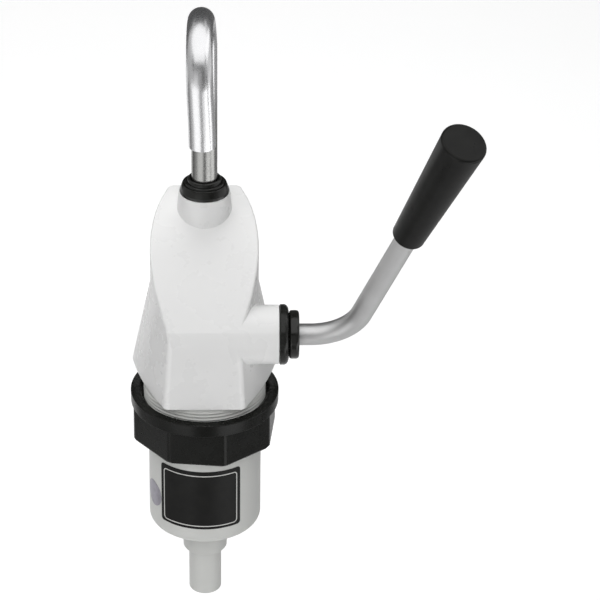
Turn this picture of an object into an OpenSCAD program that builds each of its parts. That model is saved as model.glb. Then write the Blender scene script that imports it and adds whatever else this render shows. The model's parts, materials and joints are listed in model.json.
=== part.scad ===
// Deck-mounted hand pump with a swivel spout, a swinging lever and a clamp nut under the deck.
// Millimetres. Z up. The origin is the centre of the deck hole, on the plane where the base
// meets the deck. The lever shaft lies along X and the spout points towards -Y.

/* [Deck fitting] */
// outside radius of the threaded barrel that passes through the deck
barrel_r = 25; // [23:0.5:27]
// deck thickness between the base and the clamp nut
deck_gap = 4.9; // [3:0.1:6]
// full height of the clamp nut
nut_h = 20.4; // [17:0.1:22]
// radius across the corners of the nut
nut_corner_r = 30.3; // [29:0.1:33]

/* [Cylinder] */
// depth of the straight casing below the deck
casing_depth = 64; // [60:1:80]
// outside radius of the hose spigot
spigot_r = 6.75; // [6:0.25:8]
// free length of the hose spigot
spigot_len = 21.5; // [18:0.5:30]

/* [Head] */
// height of the ridge above the deck
ridge_h = 69; // [66:0.5:74]
// distance of the ridge behind the pump axis
ridge_y = 38; // [37:0.5:42]
// half of the widest part of the base
base_half_w = 31.8; // [30:0.1:34]
// half of the widest part of the upper head
head_half_w = 21.9; // [21:0.1:24]
// height where the flared skirt meets the upper head
skirt_h = 41; // [36:1:46]
// wall thickness of the moulded head
wall = 3.2; // [2.8:0.1:3.4]
// radius of the gently curved sloping top
top_r = 108; // [100:1:125]

/* [Lever] */
// distance of the lever shaft in front of the pump axis
shaft_y = 13.6; // [13:0.1:14]
// height of the lever shaft above the deck
shaft_z = 28.4; // [28:0.1:30]
// radius of the lever boss and of the fold across the front
boss_r = 12; // [11.5:0.1:12.5]
// outer end of the lever boss from the pump axis
boss_end = 30; // [29:0.5:34]
// radius of the lever rod
rod_r = 4.4; // [4:0.1:4.5]
// distance from the pump axis to where the arm's line meets the shaft's line
elbow_x = 58; // [56:0.5:70]
// centre-line radius of the lever bend
elbow_r = 21; // [14:1:22]
// angle between the shaft and the arm
arm_angle = 72.5; // [65:0.5:80]
// lean of the lever towards the front at rest
arm_lean = 24; // [20:1:28]
// length of the arm from the elbow to the end of the grip
arm_len = 130.5; // [110:1:150]
// length of the hand grip
grip_len = 61.5; // [50:1:75]

/* [Spout] */
// distance of the spout behind the pump axis
spout_y = 25; // [24.5:0.1:25.5]
// outside radius of the spout tube
tube_r = 5.25; // [5:0.05:5.5]
// distance from the swivel axis to the outlet
spout_reach = 36; // [32:1:60]
// height of the centre of the bend
bend_z = 138; // [120:1:160]
// height of the outlet above the deck
outlet_z = 112; // [98:1:116]
// turn of the spout at rest
spout_turn = -1; // [-10:1:10]

/* [Hidden] */
$fn = 96;
face_n = 360;
// plan of the upper head: a leaf of two arcs, the front half rounder than the back half
leaf_front_r = 62;
leaf_back_r = 70;
leaf_mid_y = 6;
corner_r = 3;
// plan of the base: a leaf that ends in a round back
base_side_r = 125;
base_mid_y = 36;
base_back_y = 14;
// sloping top: a large arc tangent to the fold round the lever shaft
front_y = shaft_y + boss_r;
arc_q = top_r - boss_r;
arc_dy = ridge_y + shaft_y;
arc_dz = ridge_h - shaft_z;
arc_m = sqrt(arc_dy * arc_dy + arc_dz * arc_dz);
arc_k = (arc_m * arc_m - boss_r * boss_r - 2 * boss_r * arc_q) / (2 * arc_q);
fold_a = atan2(arc_dz, arc_dy) + asin(arc_k / arc_m);
arc_cy = -shaft_y + arc_q * sin(fold_a);
arc_cz = shaft_z - arc_q * cos(fold_a);
function top_z(y) = arc_cz + sqrt(top_r * top_r - (y - arc_cy) * (y - arc_cy));
// spout boss
boss_rise = 7;
boss_depth = 15;
boss_flare = 1.1;
rim_z = top_z(spout_y) + boss_rise;
rim_r = tube_r + 5.3;
bush_r = tube_r + 2.75;
inner_boss_z = rim_z - boss_depth;
// ring seals in the spout bush
seal_h = 2;
seal_r = tube_r + 1.85;
seal_zs = [rim_z - 5.1, rim_z - 9.5];
// swivel boot
boot_r = rim_r - 0.45;
boot_h = 6.4;
boot_lip_r = rim_r - 4.25;
// four cones make its dome, each with a small step to the next
boot_zs = [0.16 * boot_h, 0.5 * boot_h, 0.66 * boot_h, 0.8 * boot_h, boot_h];
boot_rs = [boot_r - 0.2, boot_r - 0.85, boot_r - 1.75, boot_r - 3.1, boot_lip_r - 0.1];
// bearing posts and bores on the lever shaft
far_post_r = 8.2;
near_post_r = 9.4;
end_bore_r = 6;
bush_bore_r = 7;
gland_bore_r = 8;
near_post_x = 11;
far_post_x = -10;
gland_depth = 5.8;
shaft_seal_x = boss_end - 2.9;
// gland ring and wiper ring outside the boss
gland_r = boss_r + 0.2;
gland_t = 3.8;
wiper_r = 9.8;
wiper_neck_r = 7.4;
wiper_x = boss_end + gland_t + 0.1;
wiper_t = 4.1;
// cylinder
casing_r = barrel_r - 1.9;
bore_r = casing_r - 3.5;
neck_r = barrel_r - 2.5;
neck_h = 9;
neck_seal_z = 3.5;
neck_seal_t = 1.2;
barrel_bottom = -max(27, deck_gap + nut_h + 2);
shoulder_r = 3.2;
floor_t = 3;
floor_z = -casing_depth + floor_t;
collar_r = spigot_r + 2.4;
collar_top = -casing_depth - 10;
collar_bottom = collar_top - 8.5;
spigot_end = collar_bottom - spigot_len;
inlet_r = spigot_r - 2;
seat_t = 2.2;
// guide for the piston rod, at the top of the bore
guide_z = 1;
guide_h = 7;
guide_rim = 0.9;
guide_t = 2.5;
hub_r = 7;
guide_arm_t = 3;
piston_rod_r = 4;
// nut
nut_bore_r = barrel_r + 0.3;
nut_top = -deck_gap;
nut_turn = 16;
flange_t = 5.3;
flange_step = 0.9;
// crank and yoke
crank_r = 14;
pin_r = 2.5;
roller_r = 3.4;
pin_y = -shaft_y + crank_r * cos(arm_lean);
pin_z = shaft_z + crank_r * sin(arm_lean);
yoke_half_h = 6.5;
crank_x0 = 4;
crank_x1 = 10.5;
crank_hub_r = 7.5;
crank_eye_r = 4.8;
cross_pin_r = 1;
// valves and piston
seat_z = floor_z + 1.2;
valve_t = 2;
valve_lift = 2.5;
cage_z = seat_z + valve_t + valve_lift + 0.15;
cage_t = 2;
piston_h = 10;
piston_groove_h = 4;
piston_groove_t = 3;
port_r = 2.4;
port_ring_r = 10;
rod_thread_r = 3;
rod_nut_r = 5.8;
rod_nut_h = 3.5;
lowest_nut = cage_z + cage_t + valve_lift + 0.4;
stroke_down = 14.2;
piston_z = lowest_nut + rod_nut_h + stroke_down;
flap_t = 1.5;
flap_r = 14;
stop_r = 7.5;
stop_t = 1.6;
stop_z = piston_z + piston_h + flap_t + valve_lift + 0.1;
valve_r = inlet_r + 4.2;
stem_r = 1.6;
cage_hub_r = 4.2;
cage_arm_t = 3.2;
// lever bend
elbow_t = elbow_r * tan(arm_angle / 2);
shaft_end = -16.5;
grip_start = arm_len - grip_len;
grip_low_r = 6.65;
grip_end_r = 9.1;
grip_cap_t = 5.9;
// label and film disc on the casing
label_base = 4.4;
label_h = min(28.1, casing_depth + barrel_bottom - label_base - 3.6);
label_start = -140;
label_sweep = 88.7;
label_t = 0.25;
disc_r = 5.8;
disc_turn = -155;
disc_rise = 14;

// ---------- helpers ----------

// two crossing arcs that leave a leaf shape of half width hw at y = yc
module leaf(hw, r, yc) {
    intersection() {
        translate([hw - r, yc]) circle(r, $fn = face_n);
        translate([r - hw, yc]) circle(r, $fn = face_n);
    }
}

// half width of that leaf at y
function leaf_w(hw, r, yc, y) = hw - r + sqrt(r * r - (y - yc) * (y - yc));

// a straight end at y = ye with two rounded corners; side = 1 at the back, -1 at the front
module square_end(w, ye, r, side) {
    for (sx = [-1, 1]) {
        translate([sx * (w - r - 0.15), ye - side * r]) circle(r, $fn = 48);
    }
    translate([-(w - r - 0.15), min(ye, ye - side * 2 * r)]) square([2 * (w - r - 0.15), 2 * r]);
}

// plan of the base on the deck
module base_plan() {
    start_y = -front_y + corner_r;
    back_r = leaf_w(base_half_w, base_side_r, base_mid_y, base_back_y);
    intersection() {
        leaf(base_half_w, base_side_r, base_mid_y);
        translate([-50, start_y]) square([100, base_back_y - start_y]);
    }
    square_end(leaf_w(base_half_w, base_side_r, base_mid_y, start_y), -front_y, corner_r, -1);
    intersection() {
        translate([0, base_back_y]) circle(back_r, $fn = 180);
        translate([-50, base_back_y]) square([100, 50]);
    }
}

// plan of the upper head, inset by t
module head_plan(t) {
    yc = leaf_mid_y;
    rf = leaf_front_r - t;
    rb = leaf_back_r - t;
    hw = head_half_w - t;
    yf = -front_y + t;
    yb = ridge_y - t;
    start_y = yf + corner_r;
    end_y = yb - corner_r;
    intersection() {
        leaf(hw, rf, yc);
        translate([-50, start_y]) square([100, yc - start_y]);
    }
    square_end(leaf_w(hw, rf, yc, start_y), yf, corner_r, -1);
    intersection() {
        leaf(hw, rb, yc);
        translate([-50, yc]) square([100, end_y - yc]);
    }
    square_end(leaf_w(hw, rb, yc, end_y), yb, corner_r, 1);
}

// side profile in Y and Z, inset by t: upright front, fold, sloping curved top
module side_plan(t, z0) {
    difference() {
        intersection() {
            translate([arc_cy, arc_cz]) circle(top_r - t, $fn = face_n);
            translate([-front_y + t, z0]) square([100, 100]);
        }
        difference() {
            translate([-shaft_y, shaft_z])
                polygon([[0, 0], [-40, 0], [-40, 40], [-40 * tan(fold_a), 40]]);
            translate([-shaft_y, shaft_z]) circle(boss_r - t);
        }
    }
}

module along_x(x0, x1) {
    translate([x0, 0, 0]) rotate([90, 0, 90]) linear_extrude(height = x1 - x0) children();
}

// rod of radius r on the lever shaft's axis
module on_shaft(x0, x1, r) {
    translate([x0, -shaft_y, shaft_z]) rotate([0, 90, 0]) cylinder(h = x1 - x0, r = r);
}

module on_spout(z0, z1, r) {
    translate([0, spout_y, z0]) cylinder(h = z1 - z0, r = r);
}

module ring(z0, z1, r_out, r_in) {
    difference() {
        translate([0, 0, z0]) cylinder(h = z1 - z0, r = r_out);
        translate([0, 0, z0 - 1]) cylinder(h = z1 - z0 + 2, r = r_in);
    }
}

// ---------- head and its fixed pieces ----------

module head_outer() {
    intersection() {
        union() {
            hull() {
                linear_extrude(height = 0.2) base_plan();
                translate([0, 0, skirt_h - 0.2]) linear_extrude(height = 0.2) head_plan(0);
            }
            translate([0, 0, skirt_h - 0.2]) linear_extrude(height = 60) head_plan(0);
        }
        along_x(-2 * base_half_w, 2 * base_half_w) side_plan(0, 0);
    }
    on_shaft(8, boss_end, boss_r);
    translate([0, spout_y, inner_boss_z + 1])
        cylinder(h = boss_depth - 1, r1 = rim_r + boss_flare, r2 = rim_r);
}

module head_cavity() {
    difference() {
        intersection() {
            translate([0, 0, neck_h]) linear_extrude(height = 90) head_plan(wall);
            along_x(-2 * head_half_w, 2 * head_half_w) side_plan(wall, neck_h);
        }
        // bearing post for the far end of the shaft
        on_shaft(-2 * head_half_w, far_post_x, far_post_r);
        // bearing post for the near side of the shaft
        on_shaft(near_post_x, 2 * head_half_w, near_post_r);
        // inner boss of the spout
        on_spout(inner_boss_z, rim_z, rim_r);
    }
}

module housing() {
    color([0.93, 0.93, 0.92])
    difference() {
        head_outer();
        head_cavity();
        // socket for the cylinder neck
        translate([0, 0, -1]) cylinder(h = neck_h + 1, r = neck_r + 0.1);
        // shaft bores
        on_shaft(shaft_end - 0.5, far_post_x + 1, end_bore_r);
        on_shaft(near_post_x - 0.2, boss_end - gland_depth, bush_bore_r);
        on_shaft(boss_end - gland_depth - 0.1, boss_end + 1, gland_bore_r);
        // spout bore
        on_spout(inner_boss_z - 1, rim_z + 1, bush_r);
    }
}

// neck, barrel, casing and hose spigot in one moulding
module cylinder_outside() {
    rotate_extrude() {
        translate([0, -0.01]) square([neck_r, neck_h + 0.01]);
        translate([0, barrel_bottom + 1]) square([barrel_r, -barrel_bottom - 1]);
        polygon([[0, barrel_bottom + 1.1], [barrel_r, barrel_bottom + 1.1],
            [casing_r, barrel_bottom - 0.9], [0, barrel_bottom - 0.9]]);
        translate([0, -casing_depth]) square([casing_r, casing_depth + barrel_bottom]);
        translate([casing_r - shoulder_r, -casing_depth]) circle(shoulder_r, $fn = 48);
        translate([0, -casing_depth - shoulder_r]) square([casing_r - shoulder_r, shoulder_r + 0.1]);
        polygon([[0, -casing_depth - shoulder_r + 0.05], [casing_r - shoulder_r,
            -casing_depth - shoulder_r + 0.05], [collar_r + 0.6, collar_top], [0, collar_top]]);
        translate([0, collar_bottom + 0.8]) square([collar_r, collar_top - collar_bottom]);
        translate([0, collar_bottom]) square([collar_r - 0.8, 1]);
        translate([collar_r - 0.8, collar_bottom + 0.8]) circle(0.8, $fn = 24);
        translate([0, spigot_end + 1.2]) square([spigot_r, spigot_len - 1]);
        polygon([[0, spigot_end], [spigot_r - 0.9, spigot_end], [spigot_r, spigot_end + 1.3],
            [0, spigot_end + 1.3]]);
    }
}

module pump_cylinder() {
    color([0.80, 0.80, 0.78])
    difference() {
        cylinder_outside();
        // pump bore, open at the top
        translate([0, 0, floor_z]) cylinder(h = 100, r = bore_r);
        // seat for the rod guide
        translate([0, 0, guide_z]) cylinder(h = 30, r = bore_r + guide_rim);
        // inlet way down through the spigot
        translate([0, 0, spigot_end - 1]) cylinder(h = 60, r = inlet_r);
        // groove for the neck seal
        difference() {
            translate([0, 0, neck_seal_z - 0.1]) cylinder(h = seal_h + 0.2, r = neck_r + 2);
            translate([0, 0, neck_seal_z - 1]) cylinder(h = seal_h + 2, r = neck_r - neck_seal_t);
        }
    }
    // raised valve seat round the inlet
    color([0.80, 0.80, 0.78])
    difference() {
        translate([0, 0, floor_z - 0.5]) cylinder(h = seat_z - floor_z + 0.5, r = inlet_r + seat_t);
        translate([0, 0, floor_z - 2]) cylinder(h = 6, r = inlet_r);
    }
}

module neck_seal() {
    color([0.1, 0.1, 0.1])
    ring(neck_seal_z, neck_seal_z + seal_h, neck_r + 0.05, neck_r - neck_seal_t + 0.05);
}

module rod_guide() {
    color([0.75, 0.75, 0.73])
    difference() {
        union() {
            ring(guide_z, guide_z + guide_h, bore_r + guide_rim - 0.05, bore_r + guide_rim - guide_t);
            translate([0, 0, guide_z]) cylinder(h = guide_h, r = hub_r);
            for (a = [30, 150, 270]) {
                rotate([0, 0, a]) translate([0, -guide_arm_t / 2, guide_z])
                    cube([bore_r - 0.5, guide_arm_t, guide_h - 1]);
            }
        }
        cylinder(h = guide_z + guide_h + 2, r = piston_rod_r + 0.06);
    }
}

module spout_bush() {
    color([0.25, 0.25, 0.25])
    difference() {
        on_spout(inner_boss_z, rim_z, bush_r);
        on_spout(inner_boss_z - 1, rim_z + 1, tube_r + 0.06);
        for (z = seal_zs) {
            on_spout(z - 0.1, z + seal_h + 0.1, seal_r + 0.05);
        }
    }
}

module spout_seals() {
    color([0.08, 0.08, 0.08])
    for (z = seal_zs) {
        difference() {
            on_spout(z, z + seal_h, seal_r);
            on_spout(z - 1, z + seal_h + 1, tube_r + 0.08);
        }
    }
}

// domed rubber cap over the swivel
module spout_boot() {
    color([0.1, 0.1, 0.1])
    translate([0, spout_y, rim_z])
    difference() {
        union() {
            cylinder(h = boot_zs[0], r1 = boot_r, r2 = boot_r - 0.1);
            for (i = [0 : 3]) {
                translate([0, 0, boot_zs[i]])
                    cylinder(h = boot_zs[i + 1] - boot_zs[i], r1 = boot_rs[i], r2 = boot_rs[i + 1] + 0.1);
            }
        }
        translate([0, 0, -1]) cylinder(h = boot_h + 2, r = tube_r + 0.08);
        // shallow well round the tube
        translate([0, 0, 0.79 * boot_h])
            cylinder(h = 0.22 * boot_h, r1 = tube_r + 0.1, r2 = boot_lip_r - 0.3);
    }
}

module shaft_bush() {
    color([0.25, 0.25, 0.25])
    difference() {
        on_shaft(near_post_x, boss_end - gland_depth - 0.1, bush_bore_r);
        on_shaft(near_post_x - 2, boss_end, rod_r + 0.05);
    }
}

module shaft_end_bush() {
    color([0.25, 0.25, 0.25])
    difference() {
        on_shaft(shaft_end - 0.4, far_post_x, end_bore_r);
        on_shaft(shaft_end - 4, 0, rod_r + 0.05);
    }
}

module shaft_seal() {
    color([0.08, 0.08, 0.08])
    difference() {
        on_shaft(boss_end - gland_depth, shaft_seal_x, gland_bore_r - 0.05);
        on_shaft(boss_end - 8, boss_end, rod_r + 0.07);
    }
}

module gland_nut() {
    color([0.1, 0.1, 0.1])
    difference() {
        union() {
            on_shaft(shaft_seal_x + 0.1, boss_end + 0.2, gland_bore_r - 0.05);
            on_shaft(boss_end + 0.1, boss_end + gland_t - 0.9, gland_r);
            translate([boss_end + gland_t - 0.9, -shaft_y, shaft_z]) rotate([0, 90, 0])
                cylinder(h = 1, r1 = gland_r, r2 = gland_r - 1.1);
        }
        on_shaft(boss_end - 5, boss_end + 6, rod_r + 0.07);
    }
}

module shaft_wiper() {
    color([0.1, 0.1, 0.1])
    difference() {
        union() {
            on_shaft(wiper_x, wiper_x + 1, wiper_neck_r);
            on_shaft(wiper_x + 0.7, wiper_x + wiper_t - 1.2, wiper_r);
            translate([wiper_x + wiper_t - 1.2, -shaft_y, shaft_z]) rotate([0, 90, 0])
                cylinder(h = 1.2, r1 = wiper_r, r2 = wiper_r - 1.2);
        }
        on_shaft(boss_end, boss_end + 12, rod_r + 0.07);
    }
}

// ---------- clamp nut ----------

module clamp_nut() {
    z_top = nut_top;
    z_bot = nut_top - nut_h;
    color([0.12, 0.12, 0.11])
    difference() {
        union() {
            translate([0, 0, z_top - 1.5]) cylinder(h = 1.5, r = nut_corner_r);
            translate([0, 0, z_top - 3.4])
                cylinder(h = 1.9, r1 = nut_corner_r - flange_step, r2 = nut_corner_r);
            translate([0, 0, z_top - flange_t]) cylinder(h = 1.95, r = nut_corner_r - flange_step);
            intersection() {
                translate([0, 0, z_bot]) rotate([0, 0, nut_turn])
                    cylinder(h = nut_h - 3, r = nut_corner_r, $fn = 8);
                union() {
                    translate([0, 0, z_bot + 2.5]) cylinder(h = nut_h, r = nut_corner_r + 1);
                    translate([0, 0, z_bot]) cylinder(h = 2.5, r1 = nut_corner_r - 1.2,
                        r2 = nut_corner_r + 1);
                }
            }
        }
        translate([0, 0, z_bot - 1]) cylinder(h = nut_h + 2, r = nut_bore_r);
        translate([0, 0, z_top - 1.4]) cylinder(h = 1.5, r1 = nut_bore_r, r2 = nut_bore_r + 1.5);
        translate([0, 0, z_bot - 0.1]) cylinder(h = 1.3, r1 = nut_bore_r + 1.3, r2 = nut_bore_r);
    }
}

// ---------- spout ----------

module spout_path(r, end) {
    translate([0, 0, inner_boss_z - 6 - end]) cylinder(h = bend_z - inner_boss_z + 6 + end, r = r);
    translate([0, -spout_reach / 2, bend_z]) rotate([90, 0, 90]) rotate_extrude(angle = 180)
        translate([spout_reach / 2, 0]) circle(r, $fn = 48);
    translate([0, -spout_reach, outlet_z - end]) cylinder(h = bend_z - outlet_z + end, r = r);
}

module spout_tube() {
    color([0.75, 0.75, 0.76])
    translate([0, spout_y, 0]) rotate([0, 0, spout_turn])
    difference() {
        spout_path(tube_r, 0);
        spout_path(tube_r - 1.2, 1);
        // groove for the clip
        difference() {
            translate([0, 0, inner_boss_z - 1.6]) cylinder(h = 1.3, r = tube_r + 1);
            translate([0, 0, inner_boss_z - 2]) cylinder(h = 3, r = tube_r - 0.5);
        }
        // eased outlet edge
        translate([0, -spout_reach, outlet_z - 1]) difference() {
            cylinder(h = 2, r = tube_r + 1);
            translate([0, 0, 0.1]) cylinder(h = 2, r1 = tube_r - 1, r2 = tube_r + 1);
        }
    }
}

module spout_clip() {
    color([0.6, 0.6, 0.6])
    difference() {
        on_spout(inner_boss_z - 1.5, inner_boss_z - 0.4, tube_r + 1.9);
        on_spout(inner_boss_z - 3, inner_boss_z + 3, tube_r - 0.45);
        translate([-1.2, spout_y, inner_boss_z - 3]) cube([2.4, 12, 6]);
    }
}

// ---------- lever ----------

module lever_frame() {
    translate([0, -shaft_y, shaft_z]) rotate([arm_lean, 0, 0]) children();
}

module lever_arm() {
    color([0.72, 0.72, 0.73])
    lever_frame()
    difference() {
        union() {
            translate([shaft_end, 0, 0]) rotate([0, 90, 0])
                cylinder(h = elbow_x - elbow_t - shaft_end + 0.5, r = rod_r);
            translate([elbow_x - elbow_t, 0, elbow_r]) rotate([90, 0, 0]) rotate([0, 0, -90])
                rotate_extrude(angle = arm_angle) translate([elbow_r, 0]) circle(rod_r + 0.02, $fn = 48);
            translate([elbow_x, 0, 0]) rotate([0, 90 - arm_angle, 0])
                translate([0, 0, elbow_t - 0.5])
                    cylinder(h = arm_len - grip_cap_t - 0.1 - elbow_t + 0.5, r = rod_r);
        }
        // hole for the cross pin
        translate([(crank_x0 + crank_x1) / 2, 0, -20]) cylinder(h = 40, r = cross_pin_r + 0.05, $fn = 32);
        // groove for the shaft clip
        translate([-9.7, 0, 0]) rotate([0, 90, 0]) difference() {
            cylinder(h = 1.2, r = rod_r + 1);
            translate([0, 0, -1]) cylinder(h = 4, r = rod_r - 0.5);
        }
    }
}

module lever_grip() {
    r_low = grip_low_r;
    r_end = grip_end_r;
    color([0.1, 0.1, 0.1])
    lever_frame()
    translate([elbow_x, 0, 0]) rotate([0, 90 - arm_angle, 0])
    difference() {
        translate([0, 0, grip_start]) union() {
            cylinder(h = 1, r1 = r_low - 0.7, r2 = r_low);
            translate([0, 0, 1]) cylinder(h = grip_len - 2.6, r1 = r_low, r2 = r_end);
            translate([0, 0, grip_len - 1.6]) cylinder(h = 1.1, r1 = r_end, r2 = r_end - 0.7);
            translate([0, 0, grip_len - 0.5]) cylinder(h = 0.5, r1 = r_end - 0.7, r2 = r_end - 1.8);
        }
        cylinder(h = arm_len - grip_cap_t, r = rod_r + 0.02);
    }
}

module shaft_clip() {
    color([0.6, 0.6, 0.6])
    lever_frame()
    translate([-9.65, 0, 0]) rotate([0, 90, 0]) difference() {
        cylinder(h = 1.1, r = rod_r + 1.9);
        translate([0, 0, -1]) cylinder(h = 4, r = rod_r - 0.45);
        translate([-12, -1.2, -1]) cube([12, 2.4, 4]);
    }
}

// frame with the shaft on its Z axis and the crank arm along its +X axis
module crank_frame() {
    translate([0, -shaft_y, shaft_z]) rotate([arm_lean, 0, 0]) rotate([90, 0, 90]) children();
}

module crank_arm() {
    color([0.70, 0.68, 0.62])
    crank_frame()
    difference() {
        translate([0, 0, crank_x0]) linear_extrude(height = crank_x1 - crank_x0) {
            circle(crank_hub_r);
            translate([crank_r, 0]) circle(crank_eye_r);
            polygon([[2, -crank_hub_r + 0.9], [crank_r, -crank_eye_r + 0.2],
                [crank_r, crank_eye_r - 0.2], [2, crank_hub_r - 0.9]]);
        }
        cylinder(h = 30, r = rod_r + 0.02);
        translate([crank_r, 0, 0]) cylinder(h = 30, r = pin_r + 0.02);
        translate([0, 0, (crank_x0 + crank_x1) / 2]) rotate([90, 0, 0]) translate([0, 0, -20])
            cylinder(h = 40, r = cross_pin_r + 0.05, $fn = 32);
    }
}

module crank_pin() {
    color([0.65, 0.65, 0.66])
    crank_frame()
    translate([crank_r, 0, 0]) {
        translate([0, 0, -3.4]) cylinder(h = crank_x1 + 3.2, r = pin_r);
        translate([0, 0, -4.6]) cylinder(h = 1.2, r = pin_r + 1.6);
    }
}

module crank_roller() {
    color([0.85, 0.85, 0.82])
    crank_frame()
    translate([crank_r, 0, -3.3]) difference() {
        cylinder(h = 7.2, r = roller_r);
        translate([0, 0, -1]) cylinder(h = 10, r = pin_r + 0.03);
    }
}

module cross_pin() {
    color([0.6, 0.6, 0.6])
    crank_frame()
    translate([0, 0, (crank_x0 + crank_x1) / 2]) rotate([90, 0, 0]) translate([0, 0, -crank_hub_r + 0.5])
        cylinder(h = 2 * crank_hub_r - 1, r = cross_pin_r, $fn = 32);
}

// ---------- piston ----------

module piston_rod() {
    y0 = -shaft_y + crank_r * cos(36) - roller_r - 0.4;
    y1 = -shaft_y + crank_r + roller_r + 0.4;
    slot_r = roller_r + 0.35;
    color([0.78, 0.78, 0.78])
    difference() {
        union() {
            translate([0, 0, piston_z + piston_h])
                cylinder(h = pin_z - yoke_half_h + 1 - piston_z - piston_h, r = piston_rod_r);
            translate([0, 0, piston_z - rod_nut_h])
                cylinder(h = piston_h + rod_nut_h + 1, r = rod_thread_r);
            translate([-2.9, y0 - 2, pin_z - yoke_half_h]) cube([5.8, y1 - y0 + 5, 2 * yoke_half_h]);
        }
        translate([-10, y0, pin_z - slot_r]) cube([20, y1 - y0, 2 * slot_r]);
    }
}

module piston() {
    color([0.82, 0.82, 0.80])
    difference() {
        translate([0, 0, piston_z]) cylinder(h = piston_h, r = bore_r - 0.4);
        translate([0, 0, piston_z - 1]) cylinder(h = piston_h + 2, r = rod_thread_r + 0.02);
        for (a = [0 : 60 : 300]) {
            rotate([0, 0, a]) translate([port_ring_r, 0, piston_z - 1])
                cylinder(h = piston_h + 2, r = port_r, $fn = 48);
        }
        translate([0, 0, piston_z + (piston_h - piston_groove_h) / 2]) difference() {
            cylinder(h = piston_groove_h, r = bore_r + 1);
            translate([0, 0, -1]) cylinder(h = piston_groove_h + 2, r = bore_r - piston_groove_t);
        }
    }
}

module piston_seal() {
    z = piston_z + (piston_h - piston_groove_h) / 2;
    color([0.1, 0.1, 0.1])
    ring(z + 0.1, z + piston_groove_h - 0.1, bore_r - 0.07, bore_r - piston_groove_t + 0.05);
}

module piston_valve() {
    z = piston_z + piston_h;
    color([0.15, 0.15, 0.15]) ring(z, z + flap_t, flap_r, piston_rod_r + 0.07);
}

module valve_stop() {
    color([0.7, 0.7, 0.68]) ring(stop_z, stop_z + stop_t, stop_r, piston_rod_r + 0.02);
}

module piston_nut() {
    color([0.65, 0.65, 0.66])
    difference() {
        translate([0, 0, piston_z - rod_nut_h]) cylinder(h = rod_nut_h, r = rod_nut_r, $fn = 6);
        translate([0, 0, piston_z - rod_nut_h - 1]) cylinder(h = rod_nut_h + 2, r = rod_thread_r + 0.02);
    }
}

// ---------- inlet valve ----------

module inlet_valve() {
    color([0.15, 0.15, 0.15]) {
        translate([0, 0, seat_z]) cylinder(h = valve_t, r = valve_r);
        translate([0, 0, seat_z + valve_t - 0.1])
            cylinder(h = valve_lift + cage_t + 0.1, r = stem_r, $fn = 48);
    }
}

module inlet_cage() {
    color([0.75, 0.75, 0.73])
    difference() {
        union() {
            ring(floor_z, cage_z + cage_t, bore_r - 0.05, bore_r - 2.2);
            translate([0, 0, cage_z]) cylinder(h = cage_t, r = cage_hub_r);
            for (a = [30, 150, 270]) {
                rotate([0, 0, a]) translate([0, -cage_arm_t / 2, cage_z])
                    cube([bore_r - 1, cage_arm_t, cage_t]);
            }
        }
        translate([0, 0, cage_z - 1]) cylinder(h = cage_t + 2, r = stem_r + 0.08, $fn = 48);
    }
}

// ---------- label ----------

module label_plate() {
    color([0.08, 0.08, 0.08])
    rotate([0, 0, label_start]) rotate_extrude(angle = label_sweep)
        translate([casing_r, -casing_depth + label_base]) square([label_t, label_h]);
}

module round_disc() {
    color([0.55, 0.53, 0.60])
    intersection() {
        difference() {
            translate([0, 0, -casing_depth]) cylinder(h = 2 * disc_rise, r = casing_r + 0.2);
            translate([0, 0, -casing_depth - 1]) cylinder(h = 2 * disc_rise + 2, r = casing_r);
        }
        translate([0, 0, -casing_depth + disc_rise]) rotate([0, 0, disc_turn]) rotate([0, 90, 0])
            cylinder(h = 2 * casing_r, r = disc_r, $fn = 64);
    }
}

housing();
pump_cylinder();
neck_seal();
clamp_nut();
spout_tube();
spout_boot();
spout_bush();
spout_seals();
spout_clip();
lever_arm();
lever_grip();
gland_nut();
shaft_wiper();
shaft_bush();
shaft_seal();
shaft_end_bush();
shaft_clip();
crank_arm();
crank_pin();
crank_roller();
cross_pin();
piston_rod();
piston();
piston_seal();
piston_valve();
valve_stop();
piston_nut();
rod_guide();
inlet_valve();
inlet_cage();
label_plate();
round_disc();
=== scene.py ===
# %% [markdown]
# # Dressing a deck-mounted hand pump
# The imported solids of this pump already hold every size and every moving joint. This lesson puts
# the looks round them: the soft edges of a moulding, the thread on the barrel, the satin of the
# alloy, the grain of the rubber. Each visible piece is modelled the way a hand would do it, from
# a primitive, in edit mode, and then rides on the solid body that it belongs to.

# %% Load the solids
import json
import math

import bpy
from mathutils import Matrix, Vector


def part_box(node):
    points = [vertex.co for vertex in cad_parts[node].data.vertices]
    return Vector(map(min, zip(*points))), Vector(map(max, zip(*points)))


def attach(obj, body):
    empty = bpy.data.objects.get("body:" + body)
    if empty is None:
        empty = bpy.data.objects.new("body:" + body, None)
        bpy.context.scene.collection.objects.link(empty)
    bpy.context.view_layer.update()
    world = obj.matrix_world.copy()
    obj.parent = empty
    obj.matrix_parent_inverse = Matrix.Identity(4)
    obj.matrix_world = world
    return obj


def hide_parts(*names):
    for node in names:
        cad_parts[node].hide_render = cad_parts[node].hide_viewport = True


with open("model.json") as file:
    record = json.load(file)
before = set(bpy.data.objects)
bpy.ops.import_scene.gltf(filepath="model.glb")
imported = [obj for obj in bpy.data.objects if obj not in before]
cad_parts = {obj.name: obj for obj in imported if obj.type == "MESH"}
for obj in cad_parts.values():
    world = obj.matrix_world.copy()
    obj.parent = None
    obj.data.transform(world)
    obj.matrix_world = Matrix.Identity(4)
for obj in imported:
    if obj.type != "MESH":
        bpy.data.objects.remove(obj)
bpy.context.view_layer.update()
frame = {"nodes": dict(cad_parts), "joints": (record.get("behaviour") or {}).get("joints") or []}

MM = 0.001

# %% [markdown]
# Every operator works on whatever is selected, and loading leaves the solids selected. So the
# first helpers clear the selection, open a piece for editing, and pick faces or edges by their
# place. Picking by place, and not by index, keeps working when a size changes.

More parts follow.
